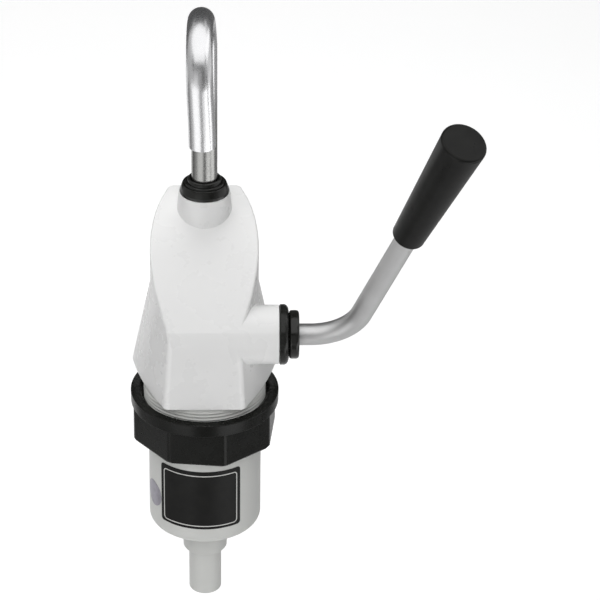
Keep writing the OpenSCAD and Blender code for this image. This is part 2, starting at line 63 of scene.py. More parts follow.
# %% Selection helpers
def deselect_objects():
    """Leave edit mode and deselect every object."""
    if bpy.context.object and bpy.context.object.mode != "OBJECT":
        bpy.ops.object.mode_set(mode="OBJECT")
    bpy.ops.object.select_all(action="DESELECT")


def make_active(piece):
    """Select one piece and nothing else."""
    deselect_objects()
    piece.select_set(True)
    bpy.context.view_layer.objects.active = piece


def open_edit(piece, mode, selected="DESELECT"):
    """Open a piece in edit mode, in VERT, EDGE or FACE mode."""
    make_active(piece)
    bpy.ops.object.mode_set(mode="EDIT")
    bpy.ops.mesh.select_mode(type=mode)
    bpy.ops.mesh.select_all(action=selected)


def pick_edges(piece, wanted):
    """Select the edges whose two ends pass the test, and return how many."""
    make_active(piece)
    bpy.ops.object.mode_set(mode="EDIT")
    bpy.ops.mesh.select_mode(type="EDGE")
    bpy.ops.mesh.select_all(action="DESELECT")
    bpy.ops.object.mode_set(mode="OBJECT")
    mesh = piece.data
    count = 0
    for edge in mesh.edges:
        a, b = (mesh.vertices[i].co for i in edge.vertices)
        edge.select = bool(wanted(a, b))
        count += edge.select
    bpy.ops.object.mode_set(mode="EDIT")
    return count


def tidy_shell(piece):
    """Merge doubled points and turn every face outward."""
    open_edit(piece, "VERT", "SELECT")
    bpy.ops.mesh.remove_doubles(threshold=1e-6)
    bpy.ops.mesh.normals_make_consistent(inside=False)
    bpy.ops.object.mode_set(mode="OBJECT")


def use_modifier(piece, kind, **settings):
    """Add a modifier, give it its settings and apply it."""
    make_active(piece)
    bpy.ops.object.modifier_add(type=kind)
    modifier = piece.modifiers[-1]
    for key, value in settings.items():
        setattr(modifier, key, value)
    bpy.ops.object.modifier_apply(modifier=modifier.name)


def soften_edges(piece, width, segments=3, angle=30):
    """Round every edge that is sharper than the angle."""
    use_modifier(piece, "BEVEL", width=width, segments=segments, limit_method="ANGLE",
                 angle_limit=math.radians(angle))


def cut_away(piece, cutter):
    """Boolean difference with a cutter, which is then deleted."""
    use_modifier(piece, "BOOLEAN", operation="DIFFERENCE", solver="EXACT", object=cutter)
    bpy.data.objects.remove(cutter)


def weld_on(piece, other):
    """Boolean union with another solid, which is then deleted."""
    use_modifier(piece, "BOOLEAN", operation="UNION", solver="EXACT", object=other)
    bpy.data.objects.remove(other)


def settle(piece, smooth=40):
    """Apply the piece's place, set its shading and weigh its normals by face area."""
    make_active(piece)
    bpy.ops.object.transform_apply(location=True, rotation=True, scale=True)
    bpy.ops.object.shade_smooth_by_angle(angle=math.radians(smooth))
    use_modifier(piece, "WEIGHTED_NORMAL", keep_sharp=True)


made = []


def mount(piece, body, slot, *nodes):
    """Hand the finished piece to its body, its material slot and the solids that it stands for."""
    piece.data.name = piece.name
    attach(piece, body)
    if nodes:
        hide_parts(*nodes)
    made.append((piece, slot))
    print(f"{piece.name}: {len(piece.data.polygons)} faces on {body}, for {nodes or 'no solid'}")


# %% [markdown]
# Most of this pump was made on a lathe or in a round mould. In Blender the same thing is a circle
# that is extruded along its axis and resized at each step of the profile. It could also be a spun
# profile, but extruding a ring keeps the count round the piece the same everywhere, and a profile
# that returns to its start closes into a tube.

# %% Turning a piece from a ring
def turn(name, profile, steps=96, solid=False):
    """A turned piece about Z from (radius, height) steps in millimetres."""
    deselect_objects()
    radius, height = profile[0]
    bpy.ops.mesh.primitive_circle_add(vertices=steps, radius=radius * MM,
                                      fill_type="NGON" if solid else "NOTHING")
    piece = bpy.context.object
    piece.name = name
    open_edit(piece, "VERT", "SELECT")
    bpy.ops.transform.translate(value=(0, 0, height * MM))
    for next_radius, next_height in profile[1:]:
        rise = (next_height - height) * MM
        bpy.ops.mesh.extrude_region_move(TRANSFORM_OT_translate={"value": (0, 0, rise)})
        grow = next_radius / radius
        bpy.ops.transform.resize(value=(grow, grow, 1), center_override=(0, 0, 0))
        radius, height = next_radius, next_height
    bpy.ops.object.mode_set(mode="OBJECT")
    tidy_shell(piece)
    return piece


def arc_steps(cx, cz, radius, start, end, count):
    """Points of a profile on an arc, from start to end degrees, 0 outward and 90 up."""
    turns = [math.radians(start + (end - start) * i / count) for i in range(count + 1)]
    return [(cx + radius * math.cos(t), cz + radius * math.sin(t)) for t in turns]


# %% [markdown]
# The places that other pieces share are read from the solids: the lever shaft and the swivel from
# their joints, the nut and the rings from their boxes. The few sizes that no box can tell, such as
# a bend's radius, are named here once, in millimetres.

# %% Shared places and sizes
joints = {joint["name"]: joint for joint in frame["joints"]}
shaft = Vector(joints["lever_swing"]["pos_m"])
swivel = Vector(joints["spout_swivel"]["pos_m"])
SHAFT_Y = shaft.y / MM
SHAFT_Z = shaft.z / MM
nut_low, nut_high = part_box("clamp_nut")
gland_low, gland_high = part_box("gland_nut")
wiper_low, wiper_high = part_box("shaft_wiper")
barrel_low, barrel_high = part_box("pump_cylinder")
BOSS_R = 12
BOSS_END = 30
TUBE_R = 5.25
RIM_R = TUBE_R + 5.3
ROD_R = 4.4
RIM_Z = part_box("spout_boot")[0].z / MM
print("lever shaft", shaft[:], "swivel", swivel[:], "spout rim at", round(RIM_Z, 2), "mm")

# %% [markdown]
# ## The moulded head
# On the real pump the head is one thick injection moulding. Seen from above it is a leaf, cut
# square at both ends. It flares towards the deck, and its long sloping top is one slow arc that
# folds down over the lever shaft. It could be carved with cutters, but then the long rim would be
# a chain of slivers that no bevel can follow. So the walls are raised ring by ring from an
# outline, one column for each direction that the wall faces, the last rings turn over the rim in
# a soft curve, and the top is bridged across the two sides. Every face is then a clean quad.

# %% The outlines of the head
HEAD_FRONT = SHAFT_Y - BOSS_R
HEAD_BACK = 38
HEAD_HALF = 21.9
BASE_HALF = 31.8
SKIRT_H = 41
WALL = 3.2
CORNER = 3
CORNER_EASE = 0.15
TOP_R = 108
RIDGE_H = 69
LEAF_FRONT, LEAF_BACK, LEAF_MID = 62, 70, 6
BASE_LEAF, BASE_MID, BASE_BACK = 125, 36, 14


def leaf_width(half, radius, middle, y):
    """Half width of a leaf made by two crossing arcs."""
    return half - radius + math.sqrt(radius ** 2 - (y - middle) ** 2)


def facing(angle):
    """Plan direction of a wall: 0 looks forward, 90 to the right, 180 back."""
    turn_by = math.radians(angle)
    return Vector((math.sin(turn_by), -math.cos(turn_by)))


def round_corner(half, radius, middle, y, angle):
    """A point of the rounded corner that ends a leaf's wall at y."""
    wide = leaf_width(half, radius, middle, y)
    return Vector((wide - CORNER - CORNER_EASE, y)) + CORNER * facing(angle)


def head_point(angle, inset=0):
    """The point of the upper outline whose wall faces that way."""
    half, front, back = HEAD_HALF - inset, HEAD_FRONT + inset, HEAD_BACK - inset
    r_front, r_back = LEAF_FRONT - inset, LEAF_BACK - inset
    first = 90 - math.degrees(math.asin((LEAF_MID - front - CORNER) / r_front))
    last = 90 + math.degrees(math.asin((back - CORNER - LEAF_MID) / r_back))
    if angle < first:
        return round_corner(half, r_front, LEAF_MID, front + CORNER, angle)
    if angle <= 90:
        return Vector((half - r_front, LEAF_MID)) + r_front * facing(angle)
    if angle <= last:
        return Vector((half - r_back, LEAF_MID)) + r_back * facing(angle)
    return round_corner(half, r_back, LEAF_MID, back - CORNER, angle)


def base_point(angle, _inset=0):
    """The point of the outline on the deck whose wall faces that way; the deck has no inset."""
    first = 90 - math.degrees(math.asin((BASE_MID - HEAD_FRONT - CORNER) / BASE_LEAF))
    last = 90 - math.degrees(math.asin((BASE_MID - BASE_BACK) / BASE_LEAF))
    if angle < first:
        return round_corner(BASE_HALF, BASE_LEAF, BASE_MID, HEAD_FRONT + CORNER, angle)
    if angle < 90:
        return Vector((BASE_HALF - BASE_LEAF, BASE_MID)) + BASE_LEAF * facing(min(angle, last))
    wide = leaf_width(BASE_HALF, BASE_LEAF, BASE_MID, BASE_BACK)
    return Vector((0, BASE_BACK)) + wide * facing(angle)


print("upper outline is", round(2 * head_point(90).x, 1), "mm wide,",
      "the base", round(2 * base_point(90).x, 1), "mm")

# %% [markdown]
# The side profile is an upright front, a fold whose centre is the lever shaft, and an arc of
# 108 mm that is tangent to the fold and passes through the ridge. Working out the centre of that
# arc once gives the height of the top at any distance from the front.

# %% The sloping top
slope_y = HEAD_BACK - SHAFT_Y
slope_z = RIDGE_H - SHAFT_Z
slope_len = math.hypot(slope_y, slope_z)
inner_r = TOP_R - BOSS_R
lean = (slope_len ** 2 - BOSS_R ** 2 - 2 * BOSS_R * inner_r) / (2 * inner_r)
fold_turn = math.atan2(slope_z, slope_y) + math.asin(lean / slope_len)
arc_y = SHAFT_Y + inner_r * math.sin(fold_turn)
arc_z = SHAFT_Z - inner_r * math.cos(fold_turn)


def top_height(y, inset=0):
    """Height of the fold or of the sloping top above the deck."""
    if y < SHAFT_Y - (BOSS_R - inset) * math.sin(fold_turn):
        return SHAFT_Z + math.sqrt(max((BOSS_R - inset) ** 2 - (y - SHAFT_Y) ** 2, 0))
    return arc_z + math.sqrt((TOP_R - inset) ** 2 - (y - arc_y) ** 2)


def wall_place(angle, z, low_point, inset):
    """Where the wall's column for a direction stands at height z."""
    foot, head = low_point(angle, inset), head_point(angle, inset)
    return foot.lerp(head, min(z / SKIRT_H, 1))


def rim_height(angle, low_point, inset):
    """Height where that column meets the top, found by halving."""
    low, high = 0.0, 90.0
    for _ in range(40):
        middle = (low + high) / 2
        y = wall_place(angle, middle, low_point, inset).y
        if middle < top_height(y, inset):
            low = middle
        else:
            high = middle
    return low


print("fold turns through", round(math.degrees(math.pi / 2 - fold_turn), 1), "degrees")

# %% The rounding of the rim
RIM_SOFT = 1.1


def top_slope(y, inset):
    """Steepness of the top along Y."""
    step = 0.02
    return (top_height(y + step, inset) - top_height(y, inset)) / step


def rim_curve(angle, low_point, inset, soft, steps=5):
    """Points that leave the wall, turn over the rim and end on the top, for one column."""
    height = rim_height(angle, low_point, inset)
    corner = wall_place(angle, height, low_point, inset)
    ahead = rim_height(angle + 0.5, low_point, inset)
    along = (wall_place(angle + 0.5, ahead, low_point, inset) - corner).length
    rise = (ahead - height) / max(along, 0.001)
    drop = soft * min(math.hypot(1, rise), 3)
    reach = soft / math.hypot(1, top_slope(corner.y, inset) * math.cos(math.radians(angle)))
    on_wall = wall_place(angle, height - drop, low_point, inset)
    on_top = corner - reach * facing(angle)
    start = Vector((on_wall.x, on_wall.y, height - drop))
    bend = Vector((corner.x, corner.y, height))
    end = Vector((on_top.x, on_top.y, top_height(on_top.y, inset)))
    points = []
    for i in range(steps + 1):
        t = i / steps
        points.append(start * (1 - t) ** 2 + bend * 2 * t * (1 - t) + end * t ** 2)
    return points


# %% Raising the walls from an outline
def wall_angles():
    """Directions of the columns on one side, in degrees, closer where the wall is long."""
    corner = list(range(0, 60, 5))
    side = list(range(60, 116))
    rear = [116 + i * 6.4 for i in range(11)]
    return corner + side + rear


def raise_block(name, low_point, floor, inset=0, soft=0.01):
    """A closed block: an outline raised by rings, over a soft rim, and bridged across the top."""
    angles = wall_angles()
    count = 2 * len(angles)
    rims = [rim_curve(angle, low_point, inset, soft) for angle in angles]

    def mirrored(points):
        left = [Vector((-p.x, p.y, p.z)) for p in reversed(points)]
        return [p * MM for p in points + left]

    def wall_ring(heights):
        places = [(wall_place(a, h, low_point, inset), h) for a, h in zip(angles, heights)]
        return mirrored([Vector((p.x, p.y, h)) for p, h in places])

    shoulder = [min(SKIRT_H, rim[0].z - 0.5) for rim in rims]
    middle = [(floor + height) / 2 for height in shoulder]
    rings = [wall_ring([floor] * len(angles)), wall_ring(middle), wall_ring(shoulder)]
    rings += [mirrored([rim[i] for rim in rims]) for i in range(len(rims[0]))]
    deselect_objects()
    bpy.ops.mesh.primitive_circle_add(vertices=count, radius=0.03)
    piece = bpy.context.object
    piece.name = name
    for number, places in enumerate(rings):
        if number:
            open_edit(piece, "EDGE")
            bpy.ops.object.mode_set(mode="OBJECT")
            for edge in piece.data.edges:
                edge.select = min(edge.vertices) >= (number - 1) * count
            bpy.ops.object.mode_set(mode="EDIT")
            bpy.ops.mesh.extrude_region_move(TRANSFORM_OT_translate={"value": (0, 0, 0.001)})
            bpy.ops.object.mode_set(mode="OBJECT")
        for vertex, place in zip(piece.data.vertices[number * count:], places):
            vertex.co = place
    top_start = (len(rings) - 1) * count
    half = len(angles)
    open_edit(piece, "EDGE")
    bpy.ops.object.mode_set(mode="OBJECT")
    for edge in piece.data.edges:
        low, high = sorted(i - top_start for i in edge.vertices)
        edge.select = low >= 0 and (high < half or low >= half)
    bpy.ops.object.mode_set(mode="EDIT")
    bpy.ops.mesh.bridge_edge_loops()
    pick_edges(piece, lambda a, b: max(a.z, b.z) < (floor + 0.01) * MM)
    bpy.ops.mesh.edge_face_add()
    tidy_shell(piece)
    return piece


head = raise_block("head_moulding", base_point, 0, soft=RIM_SOFT)
print("head block:", len(head.data.vertices), "points,", len(head.data.polygons), "faces")

# %% Easing the foot of the head
print("foot edges:", pick_edges(head, lambda a, b: max(a.z, b.z) < 1e-6))
bpy.ops.mesh.bevel(offset=0.35 * MM, segments=2, affect="EDGES", clamp_overlap=False)
tidy_shell(head)

# %% [markdown]
# The two bosses are turned pieces that the mould joins to the block: a straight one, as wide as
# the fold, for the lever shaft, and a slightly tapered one for the swivel of the spout. They are
# welded on with a union. The cavity is the same block again, set in by the wall, less the posts
# that carry the shaft inside. A drawing would show it in section; here it only has to leave the
# crank its room.

# %% The bosses, the cavity and the bores of the head
def on_shaft_axis(piece):
    """Lay a turned piece along the lever shaft, its height becoming X."""
    make_active(piece)
    piece.matrix_world = Matrix.Translation(shaft) @ Matrix.Rotation(math.pi / 2, 4, "Y")
    bpy.ops.object.transform_apply(location=True, rotation=True, scale=True)
    return piece


def on_swivel_axis(piece):
    """Stand a turned piece on the swivel axis."""
    make_active(piece)
    piece.location = (0, swivel.y, 0)
    bpy.ops.object.transform_apply(location=True, rotation=True, scale=True)
    return piece


def rod(name, radius, low, high, steps=96):
    """A plain round bar for cutting or joining."""
    return turn(name, [(radius, low), (radius, high)], steps, solid=True)


BOSS_STEPS = 160
FAR_POST_R, FAR_POST_X = 8.2, -10
NEAR_POST_R, NEAR_POST_X = 9.4, 11
NECK_R, NECK_H = 22.5, 9
END_BORE_R, BUSH_BORE_R, GLAND_BORE_R = 6, 7, 8
GLAND_DEPTH = 5.8
SPOUT_POST = 15
boss = BOSS_R - 0.04
boss_steps = [(boss, 8), (boss, BOSS_END - 0.4), (boss - 0.12, BOSS_END - 0.12),
              (boss - 0.4, BOSS_END)]
weld_on(head, on_shaft_axis(turn("lever_boss", boss_steps, BOSS_STEPS, solid=True)))
boss_steps = [(RIM_R + 1.1, RIM_Z - 14), (RIM_R, RIM_Z - 0.5), (RIM_R - 0.12, RIM_Z - 0.15),
              (RIM_R - 0.45, RIM_Z)]
weld_on(head, on_swivel_axis(turn("spout_boss", boss_steps, BOSS_STEPS, solid=True)))
cavity = raise_block("cavity", head_point, NECK_H, inset=WALL)
for post in (on_shaft_axis(rod("far_post", FAR_POST_R, FAR_POST_X - 20, FAR_POST_X)),
             on_shaft_axis(rod("near_post", NEAR_POST_R, NEAR_POST_X, BOSS_END + 10)),
             on_swivel_axis(rod("spout_post", RIM_R, RIM_Z - SPOUT_POST, RIM_Z + 10))):
    cut_away(cavity, post)
cut_away(head, cavity)
gland_seat = BOSS_END - GLAND_DEPTH
for bore in (rod("socket", NECK_R + 0.1, -1, NECK_H + 0.001),
             on_shaft_axis(rod("end_bore", END_BORE_R, FAR_POST_X - 7, FAR_POST_X + 1)),
             on_shaft_axis(rod("bush_bore", BUSH_BORE_R, NEAR_POST_X - 0.2, gland_seat)),
             on_shaft_axis(rod("gland_bore", GLAND_BORE_R, gland_seat - 0.1, BOSS_END + 1)),
             on_swivel_axis(rod("swivel_bore", TUBE_R + 2.75, RIM_Z - SPOUT_POST - 1, RIM_Z + 1))):
    cut_away(head, bore)
settle(head, 32)
mount(head, "base", "white_plastic", "housing")

# %% [markdown]
# ## The cylinder under the deck
# Neck, threaded barrel, casing, shoulder and hose spigot are one light grey moulding. It is turned
# as one closed profile, down the outside and up the bore, so that the piston has its room. The
# thread is a separate strip: a small triangle swept round the barrel by the Screw modifier, which
# is how a lathe cuts it too.

# %% Barrel, casing and spigot
CASING_R = 23.1
BORE_R = 19.6
CASING_Z = -64
BARREL_Z = min(-27, nut_low.z / MM - 2)
COLLAR_Z = -82.5
SPIGOT_R = 6.75
SPIGOT_Z = barrel_low.z / MM
THREAD_ROOT = 24.35
GROOVE_R, GROOVE_TOP, GROOVE_LOW = 21.3, 5.6, 3.4
SEAT_Z, BORE_FLOOR, GUIDE_Z = -59.8, -61, 1
COLLAR_R = 9.15
inlet = SPIGOT_R - 2
outside = [(NECK_R, NECK_H), (NECK_R, GROOVE_TOP), (GROOVE_R, GROOVE_TOP), (GROOVE_R, GROOVE_LOW),
           (NECK_R, GROOVE_LOW), (NECK_R, 0), (THREAD_ROOT, 0), (THREAD_ROOT, BARREL_Z + 0.6),
           (CASING_R, BARREL_Z - 0.9)]
shoulder = arc_steps(CASING_R - 3.2, CASING_Z, 3.2, 0, -78, 10)
neck = [(9.9, -73.6)] + arc_steps(10.15, -74.4, 0.75, 120, 200, 4)[1:]
collar = [(COLLAR_R, -74.9), (COLLAR_R, COLLAR_Z + 0.8)]
collar += arc_steps(COLLAR_R - 0.8, COLLAR_Z + 0.8, 0.8, 0, -90, 4)[1:]
spigot = [(SPIGOT_R + 0.5, COLLAR_Z), (SPIGOT_R, COLLAR_Z - 0.5), (SPIGOT_R, SPIGOT_Z + 1.4)]
spigot += arc_steps(SPIGOT_R - 1, SPIGOT_Z + 1, 1, 0, -90, 5)
inside = [(inlet, SPIGOT_Z), (inlet, SEAT_Z), (inlet + 2.2, SEAT_Z), (inlet + 2.2, BORE_FLOOR),
          (BORE_R, BORE_FLOOR), (BORE_R, GUIDE_Z), (BORE_R + 0.9, GUIDE_Z), (BORE_R + 0.9, NECK_H),
          (NECK_R, NECK_H)]
casing = turn("casing_moulding", outside + shoulder + neck + collar + spigot + inside, 128)
settle(casing, 38)
mount(casing, "base", "grey_plastic", "pump_cylinder")

# %% Thread on the barrel
PITCH = 1.5
THREAD_R = barrel_high.x / MM
turns = 17
deselect_objects()
bpy.ops.mesh.primitive_circle_add(vertices=4, radius=0.5 * MM, rotation=(math.pi / 2, 0, 0))
thread = bpy.context.object
thread.name = "barrel_thread"
bpy.ops.object.transform_apply(location=True, rotation=True, scale=True)
crest = [(THREAD_ROOT - 0.15, -0.7), (THREAD_R - 0.03, -0.12), (THREAD_R - 0.03, 0.12),
         (THREAD_ROOT - 0.15, 0.7)]
for vertex, (radius, height) in zip(thread.data.vertices, crest):
    vertex.co = Vector((radius, 0, BARREL_Z + 1.3 + height)) * MM
use_modifier(thread, "SCREW", axis="Z", angle=math.radians(360 * (turns - 1)),
             screw_offset=PITCH * (turns - 1) * MM, steps=96 * (turns - 1),
             render_steps=96 * (turns - 1), use_merge_vertices=True)
tidy_shell(thread)
settle(thread, 60)
mount(thread, "base", "grey_plastic")

# %% [markdown]
# ## The clamp nut
# A fitter tightens this nut by hand from under the deck, so it has a broad round flange and eight
# flats below it. It is made as a turned flange and an eight-sided skirt, whose lower corners are
# cut to a cone. The cone reaches past the underside, because a cut whose flat faces share a plane
# may come out differently from run to run. The two are welded and then bored.

# %% Flange, eight flats and bore
NUT_R = nut_high.x / MM
NUT_TOP = nut_high.z / MM
NUT_BOTTOM = nut_low.z / MM
NUT_BORE = THREAD_R + 0.3
FLATS_TURN = 16
FLANGE_T = 5.3
CONE_R = NUT_R - 0.25
SLANT_W, SLANT_H = 0.95, 1.1
flange = turn("clamp_ring", [(NUT_R - 0.1, NUT_TOP - FLANGE_T), (NUT_R, NUT_TOP)], 160, solid=True)
flats = turn("flats", [(NUT_R, NUT_BOTTOM), (NUT_R, NUT_TOP - 3)], 8, solid=True)
make_active(flats)
flats.rotation_euler = (0, 0, math.radians(FLATS_TURN - 90))
bpy.ops.object.transform_apply(location=True, rotation=True, scale=True)
soften_edges(flats, 1.0 * MM, 4, 40)
cone = turn("cone", [(CONE_R - 2 * SLANT_W, NUT_BOTTOM - SLANT_H), (CONE_R, NUT_BOTTOM + SLANT_H),
                     (CONE_R, NUT_TOP)], 160, solid=True)
use_modifier(flats, "BOOLEAN", operation="INTERSECT", solver="EXACT", object=cone)
bpy.data.objects.remove(cone)
soften_edges(flange, 0.35 * MM, 3)
weld_on(flange, flats)
bore = turn("bore", [(NUT_BORE + 1.3, NUT_BOTTOM - 0.1), (NUT_BORE, NUT_BOTTOM + 1.2),
                     (NUT_BORE, NUT_TOP - 1.4), (NUT_BORE + 1.5, NUT_TOP + 0.1)], 128, solid=True)
cut_away(flange, bore)
settle(flange, 35)
mount(flange, "nut", "nut_plastic", "clamp_nut")

# %% [markdown]
# ## The swan-neck spout
# The real spout is a tube that was filled, pulled round a former and polished. The same order
# works here: a ring is extruded up the straight limb, spun through half a turn for the bend, and
# extruded down to the outlet. No hand-pulled bend is quite flat, so the spin axis is skewed by a
# degree, the bend bows half a millimetre to one side and the free limb leans back. Pulling also
# flattens the tube, so each ring of the bend is made slightly oval. The wall comes last, from
# Solidify, so that the bore follows.

# %% Spout tube
BEND_Z = 138
REACH = 36
OUTLET_Z = 112
TUBE_WALL = 1.2
SPOUT_TURN = -1
SPIN_SKEW = 1.3
SIDE_BOW = 0.6
RING = 72
FLATTENING = Vector((0.02, 0.05, 0.05))
tube_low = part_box("spout_tube")[0].z / MM
deselect_objects()
bpy.ops.mesh.primitive_circle_add(vertices=RING, radius=TUBE_R * MM, location=(0, 0, tube_low * MM))
spout = bpy.context.object
spout.name = "swan_neck"
bpy.ops.object.transform_apply(location=True, rotation=True, scale=True)
open_edit(spout, "EDGE", "SELECT")
for rise in (RIM_Z + 8 - tube_low, BEND_Z - RIM_Z - 8):
    bpy.ops.mesh.extrude_region_move(TRANSFORM_OT_translate={"value": (0, 0, rise * MM)})
skew = math.radians(SPIN_SKEW)
bpy.ops.mesh.spin(steps=RING, angle=math.pi, center=(0, -REACH / 2 * MM, BEND_Z * MM),
                  axis=(-math.cos(skew), math.sin(skew), 0))
for side, drop in ((0, 2), (0.35, 8), (0.3, 8), (0.15, BEND_Z - OUTLET_Z - 18)):
    bpy.ops.mesh.extrude_region_move(TRANSFORM_OT_translate={"value": (side * MM, 0, -drop * MM)})
bpy.ops.object.mode_set(mode="OBJECT")
tidy_shell(spout)
for first in range(0, len(spout.data.vertices), RING):
    ring = spout.data.vertices[first:first + RING]
    centre = sum((vertex.co for vertex in ring), Vector()) / RING
    rise = max(centre.z / MM - BEND_Z, 0) / (REACH / 2)
    shrink = [1 - share * rise for share in FLATTENING]
    for vertex in ring:
        x, y, z = (length * part for length, part in zip(vertex.co - centre, shrink))
        vertex.co = centre + Vector((x - SIDE_BOW * rise * MM, y, z))
use_modifier(spout, "SOLIDIFY", thickness=TUBE_WALL * MM, offset=-1)
soften_edges(spout, 0.35 * MM, 3, 50)
spout.matrix_world = Matrix.Translation(swivel) @ Matrix.Rotation(math.radians(SPOUT_TURN), 4, "Z")
settle(spout, 45)
mount(spout, "spout", "spout_alloy", "spout_tube")

# %% [markdown]
# ## The rubber boot of the swivel
# A domed rubber cap keeps water out of the swivel. Its lip stands round the tube, a ring and a
# raised shoulder run below the lip, and a plain band grips the rim of the boss. Each groove
# between them is part of one profile, which is turned as a closed ring.

# %% Swivel boot
def boot_profile():
    """From the band on the boss up the side, over the shoulder and the lip, and down the well."""
    band = [(10.05, 0), (10.1, 0.25), (10.0, 0.95), (9.86, 1.05), (9.8, 1.3)]
    side = [(9.6, 2.1), (9.32, 3.0), (9.12, 3.5)]
    shoulder = [(9.0, 3.82), (8.85, 4.02), (8.68, 4.06), (8.54, 3.9), (8.42, 3.68), (8.28, 3.7)]
    ring = [(8.2, 4.0), (8.1, 4.4), (7.92, 4.65), (7.7, 4.75), (7.48, 4.68)]
    slope = [(7.3, 4.46), (7.15, 4.4), (7.02, 4.5), (6.94, 4.9), (6.85, 5.5), (6.72, 5.95)]
    lip = [(6.55, 6.22), (6.35, 6.36), (6.15, 6.4), (5.94, 6.36), (5.75, 6.2)]
    well = [(5.55, 5.95), (5.42, 5.75), (TUBE_R + 0.1, 5.5), (TUBE_R + 0.1, 0)]
    return band + side + shoulder + ring + slope + lip + well + [(10.05, 0)]


boot_steps = [(radius, RIM_Z + height) for radius, height in boot_profile()]
boot = on_swivel_axis(turn("swivel_boot", boot_steps, 96))
settle(boot, 28)
mount(boot, "base", "black_rubber", "spout_boot")

# %% [markdown]
# ## The gland ring and the wiper
# Two black rings close the lever boss. The inner one is a gland nut with a rounded brim, and the
# outer one is a soft wiper, fatter and smaller, that hugs the shaft. Both are turned and then laid
# along the shaft.

# %% Gland ring and wiper
SHAFT_HOLE = ROD_R + 0.07
gland_start = gland_low.x / MM
gland_r = (gland_high.y - gland_low.y) / 2 / MM
gland_face = BOSS_END + 0.1
gland_end = wiper_low.x / MM - 0.1
BRIM_WIDE, BRIM_HIGH = 2.8, 2
gland = [(SHAFT_HOLE, gland_start), (GLAND_BORE_R - 0.05, gland_start),
         (GLAND_BORE_R - 0.05, gland_face), (gland_r - 0.4, gland_face),
         (gland_r, gland_face + 0.4), (gland_r, gland_end - BRIM_HIGH)]
gland += [(gland_r - BRIM_WIDE * (1 - math.cos(turn_by)),
           gland_end - BRIM_HIGH * (1 - math.sin(turn_by)))
          for turn_by in (math.radians(90 * i / 8) for i in range(1, 9))]
gland += [(SHAFT_HOLE, gland_end), (SHAFT_HOLE, gland_start)]
gland_ring = on_shaft_axis(turn("gland_ring", gland, 96))
settle(gland_ring, 35)
mount(gland_ring, "base", "black_plastic", "gland_nut")

wiper_start = wiper_low.x / MM
wiper_end = wiper_high.x / MM
wiper_r = (wiper_high.y - wiper_low.y) / 2 / MM
wiper = [(SHAFT_HOLE, wiper_start)]
wiper += arc_steps(wiper_r - 1.1, wiper_start + 1.1, 1.1, -90, 0, 5)
wiper += arc_steps(wiper_r - 1.3, wiper_end - 1.3, 1.3, 0, 90, 6)
wiper += [(7.0, wiper_end), (6.7, wiper_end - 0.3), (5.4, wiper_end - 0.3), (5.2, wiper_end - 0.7),
          (SHAFT_HOLE, wiper_end - 0.7), (SHAFT_HOLE, wiper_start)]
wiper_ring = on_shaft_axis(turn("wiper_ring", wiper, 96))
settle(wiper_ring, 35)
mount(wiper_ring, "base", "black_rubber", "shaft_wiper")

# %% [markdown]
# ## The lever
# One alloy rod is the shaft, the bend and the arm. It is drawn in its own frame, with the shaft
# along X and the arm rising in the XZ plane, and then leans forward about the shaft. The grip is a
# soft sleeve, wider at the hand's heel, with a rounded and slightly domed end.

# %% Lever rod
ARM_ANGLE = 72.5
ARM_LEAN = 24
ELBOW_X = 58
ELBOW_R = 21
ARM_LEN = 130.5
GRIP_LEN = 61.5
elbow_t = ELBOW_R * math.tan(math.radians(ARM_ANGLE / 2))
arm_way = Vector((math.cos(math.radians(ARM_ANGLE)), 0, math.sin(math.radians(ARM_ANGLE))))
lever_place = Matrix.Translation(shaft) @ Matrix.Rotation(math.radians(ARM_LEAN), 4, "X")
rod_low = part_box("lever_arm")[0].x / MM
deselect_objects()
bpy.ops.mesh.primitive_circle_add(vertices=64, radius=ROD_R * MM, fill_type="NGON",
                                  rotation=(0, math.pi / 2, 0), location=(rod_low * MM, 0, 0))
lever = bpy.context.object
lever.name = "lever_rod"
bpy.ops.object.transform_apply(location=True, rotation=True, scale=True)
open_edit(lever, "FACE", "SELECT")
for step in (ELBOW_X - elbow_t - rod_low - 2, 2):
    bpy.ops.mesh.extrude_region_move(TRANSFORM_OT_translate={"value": (step * MM, 0, 0)})
bpy.ops.mesh.spin(steps=36, angle=math.radians(ARM_ANGLE), axis=(0, 1, 0),
                  center=((ELBOW_X - elbow_t) * MM, 0, ELBOW_R * MM))
for step in (2, ARM_LEN - 6 - elbow_t - 2):
    bpy.ops.mesh.extrude_region_move(TRANSFORM_OT_translate={"value": arm_way * step * MM})
bpy.ops.object.mode_set(mode="OBJECT")
tidy_shell(lever)
soften_edges(lever, 0.4 * MM, 3, 50)
lever.matrix_world = lever_place
settle(lever, 45)
mount(lever, "lever", "lever_alloy", "lever_arm")

# %% Hand grip
GRIP_LOW_R = 6.65
GRIP_END_R = 9.1
GRIP_CAP = 5.9
grip_start = ARM_LEN - GRIP_LEN
grip = [(ROD_R + 0.02, ARM_LEN - GRIP_CAP), (ROD_R + 0.02, grip_start + 0.5),
        (ROD_R + 0.35, grip_start + 0.1), (ROD_R + 0.7, grip_start)]
grip += arc_steps(GRIP_LOW_R - 1.1, grip_start + 1.1, 1.1, -90, -2, 5)
grip += [(GRIP_LOW_R + (GRIP_END_R - GRIP_LOW_R) * i / 8, grip_start + 2 + (GRIP_LEN - 4) * i / 8)
         for i in range(9)]
grip += arc_steps(GRIP_END_R - 1.3, ARM_LEN - 1.55, 1.3, 4, 80, 6)
grip += [(6, ARM_LEN - 0.14), (4, ARM_LEN - 0.06), (2, ARM_LEN - 0.01), (0.4, ARM_LEN)]
sleeve = turn("hand_grip", grip, 80)
for level in (ARM_LEN - GRIP_CAP, ARM_LEN):
    closed = pick_edges(sleeve, lambda a, b: max(abs(p.z / MM - level) for p in (a, b)) < 0.001)
    bpy.ops.mesh.edge_face_add()
    print("grip closed", round(level, 1), "mm up the arm, from", closed, "edges")
